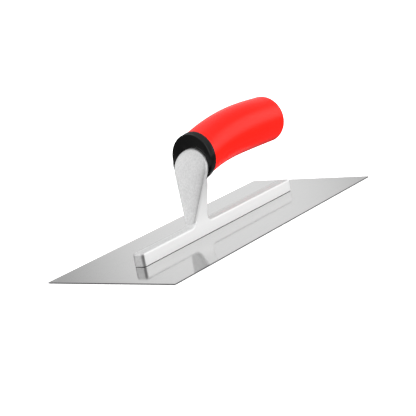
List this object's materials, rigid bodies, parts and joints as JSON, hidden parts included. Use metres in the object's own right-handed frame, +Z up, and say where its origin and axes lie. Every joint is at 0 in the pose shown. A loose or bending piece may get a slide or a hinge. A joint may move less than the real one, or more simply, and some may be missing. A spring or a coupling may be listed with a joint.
{
  "type": "finishing trowel",
  "caption": "Smooth rectangular finishing trowel: thin steel blade riveted under a cast aluminium spine and leaning post, with a soft, arched grip and black collar.",
  "frame": {"origin": "centre of the blade's underside, where the tool rests", "axes": "+X along the blade towards the handle's free end, +Y across the blade, +Z up"},
  "size_m": [0.28, 0.115, 0.0859],
  "materials": {
    "blade_steel": "fine-brushed, near mirror",
    "cast_aluminium": "fine cast grain with polished sides",
    "rivet_aluminium": "ground flush",
    "collar_plastic": "satin black moulding",
    "core_plastic": "hard moulding, hidden",
    "grip_rubber": "smooth soft-touch"
  },
  "bodies": {
    "root": {"blade": "blade_steel", "mounting": "cast_aluminium", "rivet_01": "rivet_aluminium", "rivet_02": "rivet_aluminium", "rivet_03": "rivet_aluminium", "rivet_04": "rivet_aluminium", "rivet_05": "rivet_aluminium", "rivet_06": "rivet_aluminium", "rivet_07": "rivet_aluminium", "rivet_08": "rivet_aluminium", "rivet_09": "rivet_aluminium", "collar": "collar_plastic", "handle_core": "core_plastic", "grip_sleeve": "grip_rubber"}
  },
  "joints": []
}
